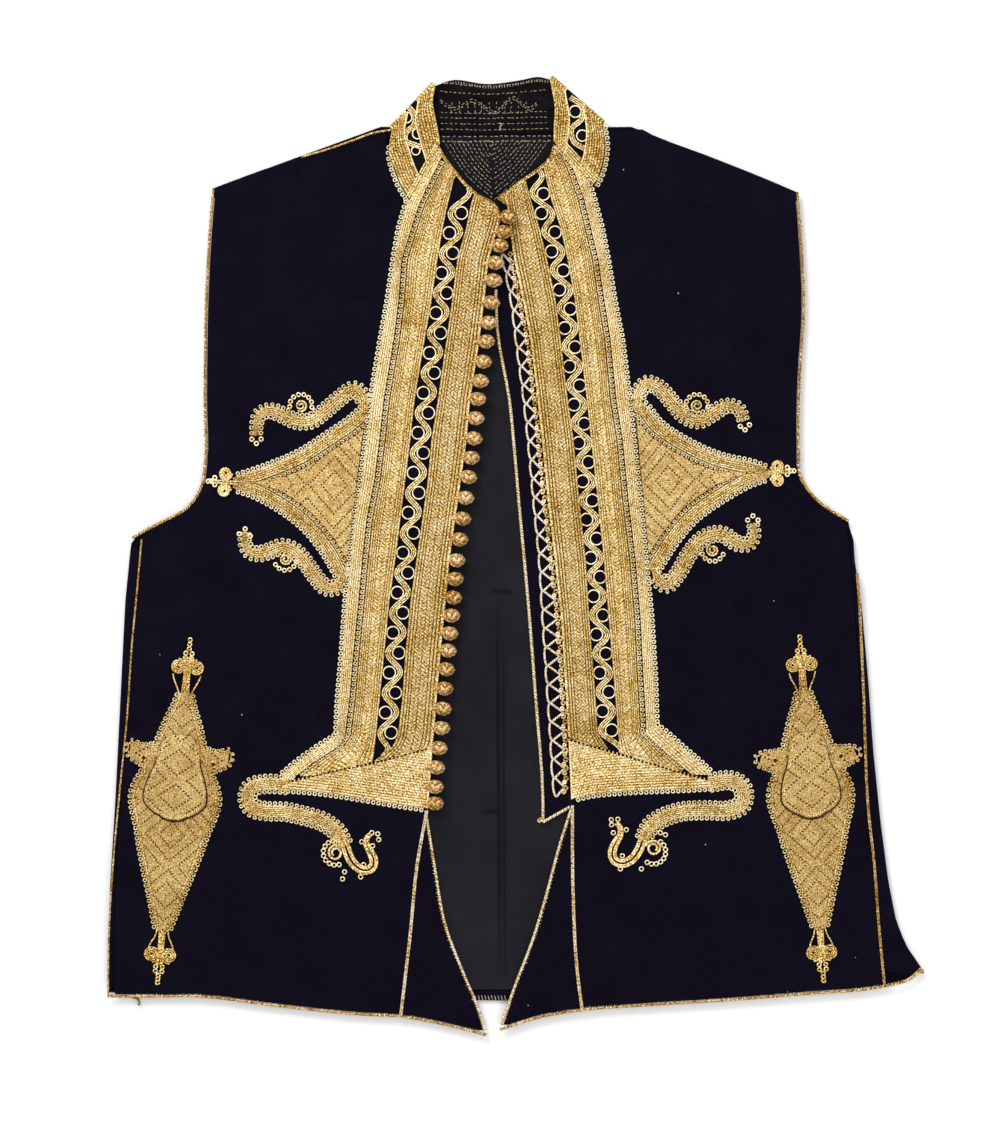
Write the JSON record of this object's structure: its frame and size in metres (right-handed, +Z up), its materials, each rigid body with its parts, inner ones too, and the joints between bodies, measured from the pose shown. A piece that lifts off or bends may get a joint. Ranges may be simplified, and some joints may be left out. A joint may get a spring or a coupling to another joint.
{
  "type": "embroidered folk vest",
  "caption": "Sleeveless folk vest laid flat: navy wool, folded stand collar, couched gold braid panels, pocket leaves, ball buttons with cord loops, corded edges.",
  "frame": {"origin": "centre of the bounding box in plan, on the surface the vest lies on", "axes": "+Z up out of the front of the vest, +Y towards the collar, +X to the right as seen from above"},
  "size_m": [0.5692, 0.6706, 0.0175],
  "materials": {
    "navy_wool": "fulled navy-black wool cloth with a short nap",
    "navy_lining": "dark navy cotton lining, fine plain weave",
    "gold_braid": "couched gold thread cords, cream to ochre, slightly metallic",
    "gold_cord": "twisted gold silk cord with worn darker turns"
  },
  "bodies": {
    "root": {"back_panel": "navy_wool", "front_left": "navy_wool", "front_right": "navy_wool", "gore_left": "navy_wool", "gore_right": "navy_wool", "placket": "navy_wool", "collar": "navy_wool", "back_lining": "navy_lining", "braid_left": "gold_braid", "braid_right": "gold_braid", "foot_left": "gold_braid", "foot_right": "gold_braid", "wing_left": "gold_braid", "wing_right": "gold_braid", "pocket_leaf_left": "gold_braid", "pocket_leaf_right": "gold_braid", "pocket_flap_left": "gold_braid", "pocket_flap_right": "gold_braid", "collar_braid_left": "gold_braid", "collar_braid_right": "gold_braid", "button_loops": "gold_braid", "armhole_cord_left": "gold_cord", "armhole_cord_right": "gold_cord", "side_cord_left": "gold_cord", "side_cord_right": "gold_cord", "hem_cord_left": "gold_cord", "hem_cord_right": "gold_cord", "placket_cord": "gold_cord", "button_01": "gold_cord", "button_02": "gold_cord", "button_03": "gold_cord", "button_04": "gold_cord", "button_05": "gold_cord", "button_06": "gold_cord", "button_07": "gold_cord", "button_08": "gold_cord", "button_09": "gold_cord", "button_10": "gold_cord", "button_11": "gold_cord", "button_12": "gold_cord", "button_13": "gold_cord", "button_14": "gold_cord", "button_15": "gold_cord", "button_16": "gold_cord", "button_17": "gold_cord", "button_18": "gold_cord", "button_19": "gold_cord", "button_20": "gold_cord", "button_21": "gold_cord", "button_22": "gold_cord", "button_23": "gold_cord", "button_24": "gold_cord", "button_25": "gold_cord", "button_26": "gold_cord", "button_27": "gold_cord", "button_28": "gold_cord", "button_29": "gold_cord", "button_30": "gold_cord", "button_31": "gold_cord", "button_32": "gold_cord"}
  },
  "joints": []
}
